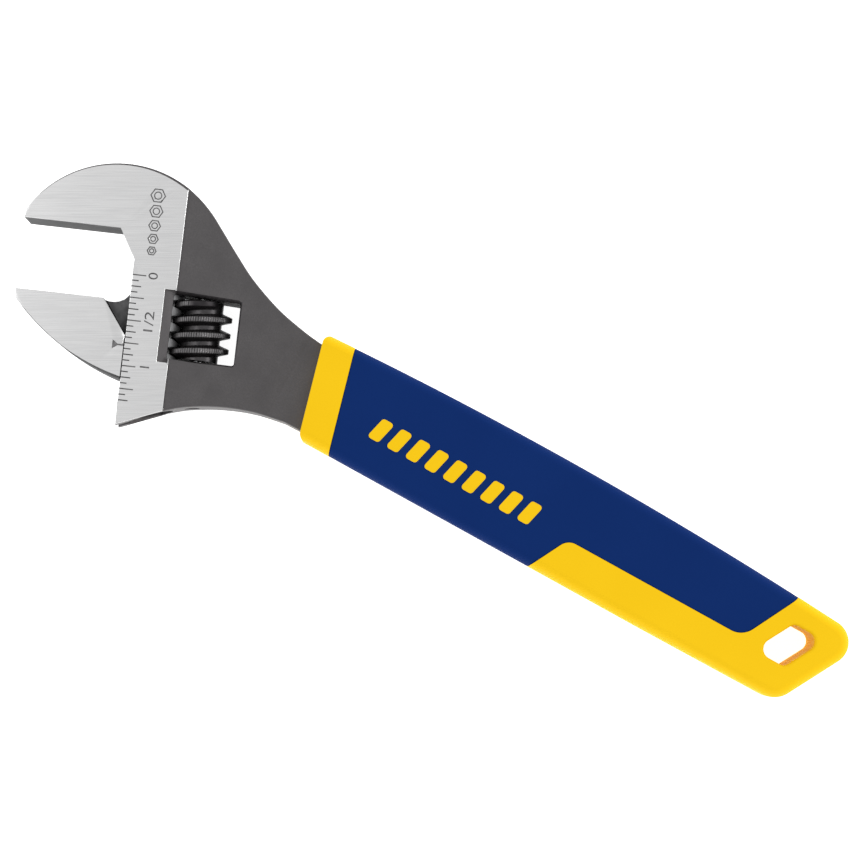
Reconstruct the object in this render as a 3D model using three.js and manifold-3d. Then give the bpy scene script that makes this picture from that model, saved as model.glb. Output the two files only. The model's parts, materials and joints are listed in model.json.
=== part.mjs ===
// Adjustable wrench of the nominal 10 inch size, in millimetres, with a two-colour moulded grip.
//
// Two drawing frames share one origin, on the worm's axis and halfway through the thickness:
//   handle frame: +X along the handle to its tail, +Y to the fixed jaw's side, +Z up.
//   jaw frame:    the handle frame turned by the jaw offset. +u runs from the jaw tips into the
//                 head, +v is the way the movable jaw slides to close, and +Z is shared.
// The exported group moves both so that the origin is the middle of the underside.
import * as THREE from "three";
import { mergeVertices } from "three/addons/utils/BufferGeometryUtils.js";
import Module from "manifold-3d";

const wasm = await Module();
wasm.setup();

// ---------------------------------------------------------------- driving dimensions
const DEG = Math.PI / 180;
const JAW_OFFSET = 22.5 * DEG; // the jaws are turned from the handle
const GAP = 0.3; // between neighbours that touch on the real wrench
const CUT = 60; // length or height that runs a cutting tool well past the part

// Head: thickness of the ground faces, of the forged faces beside them, and of the shank
const GROUND_HALF = 7.75;
const FORGED_HALF = 7.2;
const SHANK_HALF = 5.2;
const TAPER_START_X = 10;
const TAPER_END_X = 28;

// Jaws, in the jaw frame
const FIXED_FACE_V = 24.85;
const MOVABLE_FACE_V = 5.0; // at rest, so the jaws stand 19.85 mm apart
const FACE_TIP_U = -51.75;
const THROAT_TOP_U = -24.96;
const THROAT_FOOT_V = 16.6;
const STRIP_EDGE_U = -20.15; // left edge of the strip that covers the slide bore
const GROUND_EDGE_U = -7.5; // right edge of the ground faces
const CROWN = { u: -24.4, v: 11.48, radius: 31.37 }; // outer arc of the fixed jaw
const CROWN_TIP_ANGLE = 149 * DEG;
const CROWN_END_ANGLE = 48 * DEG;
const SHOULDER_RADIUS = 38; // wider arc that carries the crown on to the neck
const SHOULDER_END_ANGLE = 37.6 * DEG;
const HEAD_FOOT_V = -29.42; // lowest corner of the head, under the strip
const HEAD_HEEL_V = -24.25; // where the ground face ends on the head's lower edge
const FACE_END_U = -27.3; // inner end of the movable jaw's face
const JAW_SLANT = 9.5; // how far the jaw's inner edge falls from the face to the strip
const LOWER_ARC = { u: -3.41, v: 45.33, radius: 64.5 }; // underside of the movable jaw

// Slide: the movable jaw's round bar runs in a bore, its web in a slot
const BAR_U = -11.5;
const BAR_RADIUS = 6.05;
const BORE_RADIUS = 6.25;
const BAR_TOP_V = 8.9;
const BAR_FOOT_V = -22;
const BORE_END_V = 29;
const WEB_HALF = 3;
const SLOT_ROOM = 0.15; // between the web and its slot
const SLOT_HEAD = { corner: 0.5, step: 1.2, rise: 1.35, edge: 0.7 }; // upper end, past the jaw face
const WEB_TOP_V = 4.9; // just under the jaw's face
const WEB_DIP = [[-25.6, 4.2], [-20.9, 4.4]]; // control points of the web's hollow upper edge
const WEB_END_U = -20.1;
const WEB_FOOT = [[-17.5, BAR_FOOT_V], [-20.45, -16], [-30, -12]];

// Worm and its window
// The window's upper side falls to the right: highLeft and highRight are its corners
const WINDOW = { left: -8.3, right: 10.4, low: -9.7, highLeft: 8.55, highRight: 7.7, corner: 0.7 };
const WINDOW_CHAMFER = 0.8; // along the upper side's edges, on both faces
// Sloped relief beside the window; it reaches a little into the window
const RELIEF = { left: -10.7, low: -10.9, high: 9.3, depth: 1.2, reach: 0.5 };
const RELIEF_CORNER = 0.3;
const NOTCH_CORNER = 0.8; // where the ground face turns in to the relief
const PITCH = 4.4;
const WORM = { crest: 8.2, root: 5.2, low: -9.1, high: 7.6 };
const THREAD_FULL = { low: -8, high: 6.2 }; // between these heights the crest is full
const THREAD_RUN_OUT = 1.05; // it falls to the root over this much more
const THREAD_TURNS = 7; // enough to run past both ends of the worm, which trim it
const CREST_WIDTH = 1.05;
const FLANK_SLOPE = 0.3306; // half width gained for each millimetre down the thread
const FRONT_CREST_V = -2.2; // a crest's height on the upper side of the worm, at rest
const TOOTH_CLEARANCE = 0.22; // on each flank of the rack
const RACK_ROOT = 8.6; // ends of the rack's grooves, measured from the worm's axis
const RACK_MOUTH = 5;
const RACK_MESH = 7.8; // radius at which the grooves tilt like the thread
const PIN_RADIUS = 1.9;
const PIN_HOLE_RADIUS = 2.1;
const PIN = { low: -21.6, high: 12.6, holeEnd: 13 };
const DRIVER_SLOT = { half: 0.35, depth: 1.2 };
const SPRING = { radius: 2.85, wire: 0.3, turns: 5, pocketRadius: 3.4, pocketDepth: 9.5 };

// Neck, shank and tang, in the handle frame
const UNDERSIDE = [[7.55, -21.2], [15.4, -16.8], [24.1, -13.5], [33.2, -11.65]];
const TOPSIDE = [[31, 12.35], [24.9, 13.15], [16.3, 15.0], [6.8, 18.5], [-1.3, 22.8]];
const SHANK_FOOT = [46, -11.4];
const SHANK_TOP = [46, 11.9];
const SHANK_SOCKET = [[20, -11.91], SHANK_FOOT, SHANK_TOP, [20, 12.68]];
const TANG_HALF = 3.6;
const TANG_OUTLINE = [[40, -10.2], [187, -10.2, 3], [197.4, 9.8, 3], [100, 14.6, 1200], [40, 11.6]];

// Grip
const GRIP_HALF = 8.75; // the yellow mouldings
const SLEEVE_INSET = { plan: 0.05, depth: 0.25 }; // of the blue moulding, from the yellow
const GRIP_EDGE = { across: 3.0, deep: 5.2, steps: 5 }; // rounding of the long sides, in plan and in depth
const GRIP_OUTLINE = [
  [20, -13.74],
  [150, -13.74, 2000],
  [189.04, -13.43, 7],
  [203.78, 13.36, 6.4],
  [110.3, 19.83, 1279],
  [20, 14.81],
];
const COLLAR_TILT = 15 * DEG;
const COLLAR_FRONT_X = 35.1; // both collar ends, where they cross y = 0
const COLLAR_BACK_X = 44.45;
const COLLAR_FOOT_Y = -13.8;
const COLLAR_TOP_Y = 15.5;
const COLLAR_CORNER = 2.4;
const SLAB_RISE = 0.8; // the slab's upper side rises this much, or less, from the collar's front to its back

// The rear moulding rises from the lower edge, runs along the handle and then rises to the tail
const BEYOND_TAIL_X = 250;
const REAR_REGION = [
  [BEYOND_TAIL_X, -39],
  [BEYOND_TAIL_X, 46.5],
  [197.5, 46.5],
  [171.9, -2.4, 6],
  [117.3, -2.4, 4],
  [98.1, -39],
];

// Leaning shapes have level ends; acute and obtuse are their corner radii
const HANG_HOLE = {
  x: 184.4,
  y: 1.74,
  halfWidth: 4.75,
  halfHeight: 5.77,
  lean: 29 * DEG,
  acute: 2.8,
  obtuse: 2,
};
const EYE_WALL = 1.6; // the moulding that lines the hanging hole, with its gap to the tang

// Raised bars let into both faces of the sleeve
const BAR = { y: -0.95, halfWidth: 1.8, halfHeight: 3.25, lean: 14 * DEG, acute: 0.9, obtuse: 0.9 };
const BAR_ROW = { count: 9, firstX: 57.6, pitch: 5.85, topZ: 8.65, depth: 0.9 };

// ---------------------------------------------------------------- materials
function finish(color, roughness, metalness) {
  return new THREE.MeshStandardMaterial({ color, roughness, metalness });
}

const MATERIALS = {
  oxide: finish(0x585556, 0.5, 0.85),
  steel: finish(0xcdcfd1, 0.35, 0.95),
  darkSteel: finish(0x3e3d3f, 0.45, 0.9),
  blue: finish(0x142f6a, 0.6, 0),
  yellow: finish(0xfbca19, 0.5, 0),
};

// ---------------------------------------------------------------- shapes and solids
// The two unit directions from a corner to its neighbours, and half the angle between them.
function cornerAt(corners, i) {
  const point = new THREE.Vector2(corners[i][0], corners[i][1]);
  const towards = ([x, y]) => new THREE.Vector2(x, y).sub(point).normalize();
  const before = towards(corners.at(i - 1));
  const after = towards(corners[(i + 1) % corners.length]);
  const inward = before.clone().add(after).normalize();
  return { point, before, after, inward, halfAngle: Math.acos(before.dot(after)) / 2 };
}

// A closed outline through [x, y, radius] corners, each rounded by its own radius.
function roundedOutline(corners) {
  const shape = new THREE.Shape();
  corners.forEach(([, , radius = 0], i) => {
    const { point, before, after, inward, halfAngle } = cornerAt(corners, i);
    const reach = radius / Math.tan(halfAngle);
    const start = point.clone().addScaledVector(before, reach);
    if (i === 0) shape.moveTo(start.x, start.y);
    else shape.lineTo(start.x, start.y);
    if (radius === 0) return;
    const end = point.clone().addScaledVector(after, reach);
    const centre = point.clone().addScaledVector(inward, radius / Math.sin(halfAngle));
    const clockwise = before.cross(after) > 0;
    shape.absarc(centre.x, centre.y, radius, angleOf(start, centre), angleOf(end, centre), clockwise);
  });
  return shape;
}

// The same anticlockwise corners with every side moved outwards, or inwards by a negative distance.
function grown(corners, distance) {
  return corners.map(([, , radius = 0], i) => {
    const { point, before, after, inward, halfAngle } = cornerAt(corners, i);
    const side = before.cross(after) < 0 ? 1 : -1; // -1 where the outline turns the other way
    const moved = point.addScaledVector(inward, (-side * distance) / Math.sin(halfAngle));
    return [moved.x, moved.y, radius === 0 ? 0 : radius + side * distance];
  });
}

// Corners of a rectangle that leans from +Y towards +X and keeps its ends level.
function leaning({ x, y, halfWidth, halfHeight, lean, acute, obtuse }) {
  const shift = halfHeight * Math.tan(lean);
  return [
    [x - halfWidth - shift, y - halfHeight, acute],
    [x + halfWidth - shift, y - halfHeight, obtuse],
    [x + halfWidth + shift, y + halfHeight, acute],
    [x - halfWidth + shift, y + halfHeight, obtuse],
  ];
}

function angleOf(point, centre) {
  return Math.atan2(point.y - centre.y, point.x - centre.x);
}

function jawToHandle(u, v) {
  return new THREE.Vector2(u, v).rotateAround(new THREE.Vector2(), JAW_OFFSET);
}

// A closed three.js geometry as a solid that can be joined and cut.
function toSolid(geometry) {
  const bare = geometry.clone();
  bare.deleteAttribute("normal");
  bare.deleteAttribute("uv");
  const merged = mergeVertices(bare, 1e-4);
  const vertProperties = new Float32Array(merged.attributes.position.array);
  const triVerts = new Uint32Array(merged.index.array);
  return new wasm.Manifold(new wasm.Mesh({ numProp: 3, vertProperties, triVerts }));
}

// A flat plate of an outline, between two heights.
function plate(shape, low, high, curveSegments = 6) {
  const options = { depth: high - low, bevelEnabled: false, curveSegments };
  const geometry = new THREE.ExtrudeGeometry(shape, options);
  geometry.translate(0, 0, low);
  return toSolid(geometry);
}

// A plate drawn in the x-z plane that runs along y, on both sides of y = 0.
function crossPlate(shape, halfLength) {
  const geometry = new THREE.ExtrudeGeometry(shape, { depth: 2 * halfLength, bevelEnabled: false });
  geometry.rotateX(Math.PI / 2);
  geometry.translate(0, halfLength, 0);
  return toSolid(geometry);
}

// A round bar along +v of the jaw frame.
function roundBar(u, radius, low, high, sides = 32) {
  const geometry = new THREE.CylinderGeometry(radius, radius, high - low, sides);
  geometry.translate(u, (low + high) / 2, 0);
  return toSolid(geometry);
}

function inHandleFrame(solid) {
  return solid.rotate([0, 0, JAW_OFFSET / DEG]);
}

function named(name, solid, material) {
  const { vertProperties, triVerts } = solid.getMesh();
  const geometry = new THREE.BufferGeometry();
  geometry.setAttribute("position", new THREE.BufferAttribute(vertProperties, 3));
  geometry.setIndex(new THREE.BufferAttribute(triVerts, 1));
  geometry.computeVertexNormals();
  const mesh = new THREE.Mesh(geometry, material);
  mesh.name = name;
  return mesh;
}

// ---------------------------------------------------------------- forged body
// An arc drawn in the jaw frame, added to an outline in the handle frame.
function crownArc(shape, centreU, centreV, radius, from, to) {
  const centre = jawToHandle(centreU, centreV);
  shape.absarc(centre.x, centre.y, radius, from + JAW_OFFSET, to + JAW_OFFSET, false);
}

// The wide shoulder arc meets the crown without a corner at CROWN_END_ANGLE.
function shoulderCentre() {
  const back = SHOULDER_RADIUS - CROWN.radius;
  return [CROWN.u - back * Math.cos(CROWN_END_ANGLE), CROWN.v - back * Math.sin(CROWN_END_ANGLE)];
}

function headPoints() {
  return [
    [FACE_TIP_U, FIXED_FACE_V],
    [THROAT_TOP_U, FIXED_FACE_V],
    [STRIP_EDGE_U, THROAT_FOOT_V],
    [STRIP_EDGE_U, HEAD_FOOT_V],
    [GROUND_EDGE_U, HEAD_HEEL_V],
  ];
}

function toVectors(points) {
  return points.map((p) => new THREE.Vector2(...p));
}

function forgedOutline() {
  const shape = new THREE.Shape();
  const [first, ...rest] = headPoints().map(([u, v]) => jawToHandle(u, v));
  shape.moveTo(first.x, first.y);
  rest.forEach((p) => shape.lineTo(p.x, p.y));
  shape.splineThru(toVectors(UNDERSIDE));
  shape.lineTo(...SHANK_FOOT);
  shape.lineTo(...SHANK_TOP);
  shape.lineTo(...TOPSIDE[0]);
  const shoulder = shoulderCentre();
  const shoulderEnd = jawToHandle(
    shoulder[0] + SHOULDER_RADIUS * Math.cos(SHOULDER_END_ANGLE),
    shoulder[1] + SHOULDER_RADIUS * Math.sin(SHOULDER_END_ANGLE),
  );
  shape.splineThru([...toVectors(TOPSIDE.slice(1)), shoulderEnd]);
  crownArc(shape, ...shoulder, SHOULDER_RADIUS, SHOULDER_END_ANGLE, CROWN_END_ANGLE);
  crownArc(shape, CROWN.u, CROWN.v, CROWN.radius, CROWN_END_ANGLE, CROWN_TIP_ANGLE);
  return shape;
}

// Where the head's faces are ground, in the jaw frame, with the notch beside the window.
function groundRegion() {
  return roundedOutline([
    [-2 * CUT, -CUT],
    [GROUND_EDGE_U, -CUT],
    [GROUND_EDGE_U, RELIEF.low, NOTCH_CORNER],
    [RELIEF.left, RELIEF.low, RELIEF_CORNER],
    [RELIEF.left, RELIEF.high, RELIEF_CORNER],
    [GROUND_EDGE_U, RELIEF.high, NOTCH_CORNER],
    [GROUND_EDGE_U, CUT],
    [-2 * CUT, CUT],
  ]);
}

// Full thickness at the head, thinner at the shank, seen from the side.
function thicknessOutline() {
  return roundedOutline([
    [-CUT, FORGED_HALF],
    [-CUT, -FORGED_HALF],
    [TAPER_START_X, -FORGED_HALF],
    [TAPER_END_X, -SHANK_HALF],
    [CUT, -SHANK_HALF],
    [CUT, SHANK_HALF],
    [TAPER_END_X, SHANK_HALF],
    [TAPER_START_X, FORGED_HALF],
  ]);
}

function rectangle(left, low, right, high) {
  return roundedOutline([
    [left, low],
    [right, low],
    [right, high],
    [left, high],
  ]);
}

// The slot that the web slides in; its upper end reaches past the fixed jaw's face.
function slotOutline() {
  const left = THROAT_TOP_U - SLOT_ROOM;
  const right = STRIP_EDGE_U - SLOT_ROOM;
  return roundedOutline([
    [left, -CUT],
    [BAR_U, -CUT],
    [BAR_U, BORE_END_V],
    [right, BORE_END_V, SLOT_HEAD.corner],
    [right - SLOT_HEAD.step, FIXED_FACE_V + SLOT_HEAD.rise],
    [left, FIXED_FACE_V + SLOT_HEAD.edge],
  ]);
}

function windowOutline(rise) {
  return roundedOutline([
    [WINDOW.left, WINDOW.low, WINDOW.corner],
    [WINDOW.right, WINDOW.low, WINDOW.corner],
    [WINDOW.right, WINDOW.highRight + rise, WINDOW.corner],
    [WINDOW.left, WINDOW.highLeft + rise, WINDOW.corner],
  ]);
}

// The window with its chamfers: its upper side rises towards both faces.
function windowCut() {
  const through = plate(windowOutline(0), -CUT, CUT, 2);
  const foot = FORGED_HALF - WINDOW_CHAMFER;
  const inner = plate(windowOutline(0), foot, FORGED_HALF);
  const mouth = plate(windowOutline(WINDOW_CHAMFER), FORGED_HALF, CUT);
  const chamfer = wasm.Manifold.hull([inner, mouth]);
  return through.add(chamfer).add(chamfer.mirror([0, 0, 1]));
}

// Everything cut from the head: window, slide bore, slot, pin hole and the relief on both faces.
function headCuts() {
  const bore = roundBar(BAR_U, BORE_RADIUS, -CUT, BORE_END_V, 48);
  const slot = plate(slotOutline(), -WEB_HALF - SLOT_ROOM, WEB_HALF + SLOT_ROOM);
  const pinHole = roundBar(0, PIN_HOLE_RADIUS, -CUT, PIN.holeEnd);
  const cuts = windowCut().add(bore).add(slot).add(pinHole);
  return [1, -1].reduce((all, side) => all.add(reliefCut(side)), cuts);
}

// The sloped relief beside the window lets a finger reach the worm.
function reliefCut(side) {
  const inner = WINDOW.left + RELIEF.reach;
  const wedge = roundedOutline([
    [RELIEF.left, side * FORGED_HALF],
    [RELIEF.left, side * CUT],
    [inner, side * CUT],
    [inner, side * (FORGED_HALF - RELIEF.depth)],
  ]);
  const halfLength = (RELIEF.high - RELIEF.low) / 2;
  return crossPlate(wedge, halfLength).translate([0, RELIEF.low + halfLength, 0]);
}

// The tang, or the space it fills when it is grown by the gap, with its eye round the hanging hole.
function tang(grow) {
  const bar = plate(roundedOutline(grown(TANG_OUTLINE, grow)), -TANG_HALF - grow, TANG_HALF + grow);
  return bar.subtract(plate(roundedOutline(grown(leaning(HANG_HOLE), EYE_WALL - grow)), -CUT, CUT));
}

function shankSpace() {
  return plate(roundedOutline(grown(SHANK_SOCKET, GAP)), -SHANK_HALF - GAP, SHANK_HALF + GAP);
}

function makeBody() {
  const blank = plate(forgedOutline(), -GROUND_HALF, GROUND_HALF, 16);
  const ground = blank.intersect(inHandleFrame(plate(groundRegion(), -CUT, CUT, 3)));
  const forging = blank.intersect(crossPlate(thicknessOutline(), CUT));
  return forging.add(ground).subtract(inHandleFrame(headCuts())).add(tang(0));
}

// ---------------------------------------------------------------- movable jaw with its rack
function arcHeight(u) {
  return LOWER_ARC.v - Math.sqrt(LOWER_ARC.radius ** 2 - (u - LOWER_ARC.u) ** 2);
}

function jawOutline() {
  const back = STRIP_EDGE_U - GAP;
  const shape = new THREE.Shape();
  shape.moveTo(FACE_TIP_U, MOVABLE_FACE_V);
  shape.lineTo(FACE_END_U, MOVABLE_FACE_V);
  shape.lineTo(back, MOVABLE_FACE_V - JAW_SLANT);
  shape.lineTo(back, arcHeight(back));
  const from = Math.atan2(arcHeight(back) - LOWER_ARC.v, back - LOWER_ARC.u);
  const to = Math.atan2(arcHeight(FACE_TIP_U) - LOWER_ARC.v, FACE_TIP_U - LOWER_ARC.u);
  shape.absarc(LOWER_ARC.u, LOWER_ARC.v, LOWER_ARC.radius, from, to, true);
  return shape;
}

// The web joins the jaw to its bar; its upper edge dips into the throat, just under the jaw's face.
function webOutline() {
  const shape = new THREE.Shape();
  shape.moveTo(WEB_FOOT.at(-1)[0], WEB_TOP_V);
  shape.lineTo(FACE_END_U, WEB_TOP_V);
  shape.bezierCurveTo(...WEB_DIP.flat(), WEB_END_U, BAR_TOP_V);
  shape.lineTo(BAR_U, BAR_TOP_V);
  shape.lineTo(BAR_U, BAR_FOOT_V);
  WEB_FOOT.forEach((p) => shape.lineTo(...p));
  return shape;
}

function threadHalfWidth(distance) {
  return CREST_WIDTH / 2 + (WORM.crest - distance) * FLANK_SLOPE;
}

// One groove of the rack, tilted like the thread where it meets the worm.
function rackGroove(v) {
  const rootHalf = threadHalfWidth(RACK_ROOT) + TOOTH_CLEARANCE;
  const mouthHalf = threadHalfWidth(RACK_MOUTH) + TOOTH_CLEARANCE;
  const shape = roundedOutline([
    [-RACK_ROOT, -rootHalf],
    [-RACK_MOUTH, -mouthHalf],
    [-RACK_MOUTH, mouthHalf],
    [-RACK_ROOT, rootHalf],
  ]);
  const reach = 1.5 * BAR_RADIUS; // past the bar on both sides
  const tilt = Math.atan2(PITCH, 2 * Math.PI * RACK_MESH);
  return plate(shape, -reach, reach).rotate([-tilt / DEG, 0, 0]).translate([0, v, 0]);
}

function makeMovableJaw() {
  const jaw = plate(jawOutline(), -GROUND_HALF, GROUND_HALF, 12);
  const web = plate(webOutline(), -WEB_HALF, WEB_HALF);
  const bar = roundBar(BAR_U, BAR_RADIUS, BAR_FOOT_V, BAR_TOP_V, 48);
  const firstGroove = FRONT_CREST_V - PITCH / 4; // the thread has fallen a quarter turn to the bar's side
  let solid = jaw.add(web).add(bar);
  for (let v = firstGroove + 3 * PITCH; v > BAR_FOOT_V - PITCH; v -= PITCH) {
    solid = solid.subtract(rackGroove(v));
  }
  return solid;
}

// ---------------------------------------------------------------- worm, pin and spring
// How much of the thread's height is left where its crest passes a height v.
function fullness(v) {
  const past = Math.max(THREAD_FULL.low - v, v - THREAD_FULL.high, 0);
  return Math.max(0, 1 - past / THREAD_RUN_OUT);
}

// A single-start right-hand thread about the jaw frame's v axis, closed at both ends.
function threadedBar(low, turns, sides) {
  const half = threadHalfWidth(WORM.root);
  const profile = [
    [-half, WORM.root],
    [-CREST_WIDTH / 2, WORM.crest],
    [CREST_WIDTH / 2, WORM.crest],
    [half, WORM.root],
  ];
  const columns = turns * sides;
  const positions = [];
  const addPoint = (step, [offset, fullRadius]) => {
    const angle = (2 * Math.PI * step) / sides;
    const crest = low + (PITCH * step) / sides;
    const radius = WORM.root + (fullRadius - WORM.root) * fullness(crest);
    positions.push(radius * Math.sin(angle), crest + offset, radius * Math.cos(angle));
  };
  for (let step = 0; step <= columns + sides; step++) profile.forEach((p) => addPoint(step, p));
  const bottom = positions.length / 3;
  positions.push(0, low + PITCH / 2 - half, 0);
  positions.push(0, low + PITCH * (turns + 0.5) - half, 0);
  const top = bottom + 1;
  // Point k of a column; past the profile's end it is the start of the next turn.
  const at = (step, k) => (k < profile.length ? step * profile.length + k : (step + sides) * profile.length);
  const faces = [];
  for (let step = 0; step < columns; step++) {
    for (let k = 0; k < profile.length; k++) {
      faces.push(at(step, k), at(step + 1, k), at(step + 1, k + 1));
      faces.push(at(step, k), at(step + 1, k + 1), at(step, k + 1));
    }
  }
  for (let step = 0; step < sides; step++) {
    faces.push(bottom, at(step + 1, 0), at(step, 0));
    faces.push(top, at(columns + step, 0), at(columns + step + 1, 0));
  }
  for (let k = 0; k < profile.length; k++) {
    faces.push(bottom, at(0, k), at(0, k + 1));
    faces.push(top, at(columns, k + 1), at(columns, k));
  }
  const used = new Map();
  const kept = [];
  const compact = faces.map((i) => {
    if (!used.has(i)) {
      used.set(i, kept.length / 3);
      kept.push(...positions.slice(3 * i, 3 * i + 3));
    }
    return used.get(i);
  });
  const mesh = new wasm.Mesh({
    numProp: 3,
    vertProperties: new Float32Array(kept),
    triVerts: new Uint32Array(compact),
  });
  return new wasm.Manifold(mesh);
}

function makeWorm() {
  const threadStart = FRONT_CREST_V - 4 * PITCH;
  const bore = roundBar(0, PIN_HOLE_RADIUS, -CUT, CUT);
  const springPocket = roundBar(0, SPRING.pocketRadius, WORM.low - 1, WORM.low + SPRING.pocketDepth);
  const blank = roundBar(0, WORM.crest + 1, WORM.low, WORM.high);
  const thread = threadedBar(threadStart, THREAD_TURNS, 32);
  return thread.intersect(blank).subtract(bore).subtract(springPocket);
}

function makePin() {
  const shaft = roundBar(0, PIN_RADIUS, PIN.low, PIN.high);
  const { half, depth } = DRIVER_SLOT;
  const driverSlot = plate(rectangle(-half, PIN.low - depth, half, PIN.low + depth), -CUT, CUT);
  return shaft.subtract(driverSlot);
}

class Helix extends THREE.Curve {
  constructor(radius, low, high, turns) {
    super();
    Object.assign(this, { radius, low, high, turns });
  }

  getPoint(t, target = new THREE.Vector3()) {
    const angle = 2 * Math.PI * this.turns * t;
    const v = this.low + (this.high - this.low) * t;
    return target.set(this.radius * Math.sin(angle), v, this.radius * Math.cos(angle));
  }
}

function makeSpring() {
  const low = WINDOW.low + GAP;
  const high = WORM.low + SPRING.pocketDepth - 2 * GAP;
  const section = new THREE.Shape().absarc(0, 0, SPRING.wire, 0, 2 * Math.PI, false);
  const path = new Helix(SPRING.radius, low + SPRING.wire, high - SPRING.wire, SPRING.turns);
  const options = { extrudePath: path, steps: SPRING.turns * 14, curveSegments: 3 };
  return toSolid(new THREE.ExtrudeGeometry(section, options));
}

// ---------------------------------------------------------------- grip
// The whole grip as one rounded slab; the mouldings are regions of it.
function gripSlab(inset) {
  const half = GRIP_HALF - inset.depth;
  const geometry = new THREE.ExtrudeGeometry(roundedOutline(grown(GRIP_OUTLINE, -inset.plan)), {
    depth: 2 * (half - GRIP_EDGE.deep),
    bevelEnabled: true,
    bevelSize: GRIP_EDGE.across,
    bevelOffset: -GRIP_EDGE.across,
    bevelThickness: GRIP_EDGE.deep,
    bevelSegments: GRIP_EDGE.steps,
    curveSegments: GRIP_EDGE.steps,
  });
  geometry.translate(0, 0, GRIP_EDGE.deep - half);
  return toSolid(geometry);
}

// x of a line that leans like the collar's ends and crosses y = 0 at the given x
function collarLine(x, y) {
  return [x - y * Math.tan(COLLAR_TILT), y];
}

function collarRegion() {
  return roundedOutline([
    [...collarLine(COLLAR_FRONT_X, COLLAR_FOOT_Y), COLLAR_CORNER],
    collarLine(COLLAR_BACK_X, COLLAR_FOOT_Y),
    collarLine(COLLAR_BACK_X, COLLAR_TOP_Y + SLAB_RISE),
    [...collarLine(COLLAR_FRONT_X, COLLAR_TOP_Y), COLLAR_CORNER],
  ]);
}

// A bar, or its pocket when grown, on the upper (side 1) or lower (side -1) face.
function barSolid(index, side, grow) {
  const x = BAR_ROW.firstX + index * BAR_ROW.pitch;
  const inner = side * (BAR_ROW.topZ - BAR_ROW.depth - grow);
  const outer = side * (BAR_ROW.topZ + grow);
  const outline = roundedOutline(grown(leaning({ ...BAR, x }), grow));
  return plate(outline, Math.min(inner, outer), Math.max(inner, outer), 2);
}

function makeCollar() {
  const collar = gripSlab({ plan: 0, depth: 0 }).intersect(plate(collarRegion(), -CUT, CUT));
  return collar.subtract(shankSpace()).subtract(tang(GAP));
}

function makeSleeve() {
  const startX = COLLAR_BACK_X + GAP / Math.cos(COLLAR_TILT);
  const region = roundedOutline([
    collarLine(startX, -CUT),
    [BEYOND_TAIL_X, -CUT],
    [BEYOND_TAIL_X, CUT],
    collarLine(startX, CUT),
  ]);
  let sleeve = gripSlab(SLEEVE_INSET).intersect(plate(region, -CUT, CUT));
  sleeve = sleeve.subtract(plate(roundedOutline(grown(REAR_REGION, GAP)), -CUT, CUT));
  sleeve = sleeve.subtract(shankSpace()).subtract(tang(GAP));
  for (let index = 0; index < BAR_ROW.count; index++) {
    [1, -1].forEach((side) => {
      sleeve = sleeve.subtract(barSolid(index, side, GAP));
    });
  }
  return sleeve;
}

function makeRearWrap() {
  const wrap = gripSlab({ plan: 0, depth: 0 }).intersect(plate(roundedOutline(REAR_REGION), -CUT, CUT));
  return wrap.subtract(tang(GAP)).subtract(plate(roundedOutline(leaning(HANG_HOLE)), -CUT, CUT));
}

// ---------------------------------------------------------------- assembly
const wrench = new THREE.Group();
wrench.add(named("body", makeBody(), MATERIALS.oxide));

const jawFrame = new THREE.Group();
jawFrame.rotation.z = JAW_OFFSET;
jawFrame.add(named("movable_jaw", makeMovableJaw(), MATERIALS.steel));
jawFrame.add(named("worm", makeWorm(), MATERIALS.darkSteel));
jawFrame.add(named("worm_pin", makePin(), MATERIALS.steel));
jawFrame.add(named("worm_spring", makeSpring(), MATERIALS.steel));
wrench.add(jawFrame);

wrench.add(named("grip_front_collar", makeCollar(), MATERIALS.yellow));
wrench.add(named("grip_sleeve", makeSleeve(), MATERIALS.blue));
wrench.add(named("grip_rear_wrap", makeRearWrap(), MATERIALS.yellow));
for (const [face, side] of [["front", 1], ["back", -1]]) {
  for (let index = 0; index < BAR_ROW.count; index++) {
    wrench.add(named(`grip_bar_${face}_${index + 1}`, barSolid(index, side, 0), MATERIALS.yellow));
  }
}

// Origin: the middle of the underside.
const box = new THREE.Box3().setFromObject(wrench, true);
const centre = box.getCenter(new THREE.Vector3());
wrench.position.set(-centre.x, -centre.y, -box.min.z);

const part = new THREE.Group();
part.add(wrench);
export default part;
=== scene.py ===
# An adjustable wrench with a two-colour moulded grip, lying face up on a pale floor.
#
# Sizes are in millimetres in two drawing frames that share the worm's axis as their origin:
#   handle frame: +X along the handle to its tail, +Y to the fixed jaw's side, +Z up.
#   jaw frame:    the handle frame turned by the jaw offset. +u runs from the jaw tips into the
#                 head, +v is the way the movable jaw slides to close, and +Z is shared.
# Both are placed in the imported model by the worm's joint, so every piece lands on its CAD node.
import json
import math

import bmesh
import bpy
from mathutils import Matrix, Vector


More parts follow.
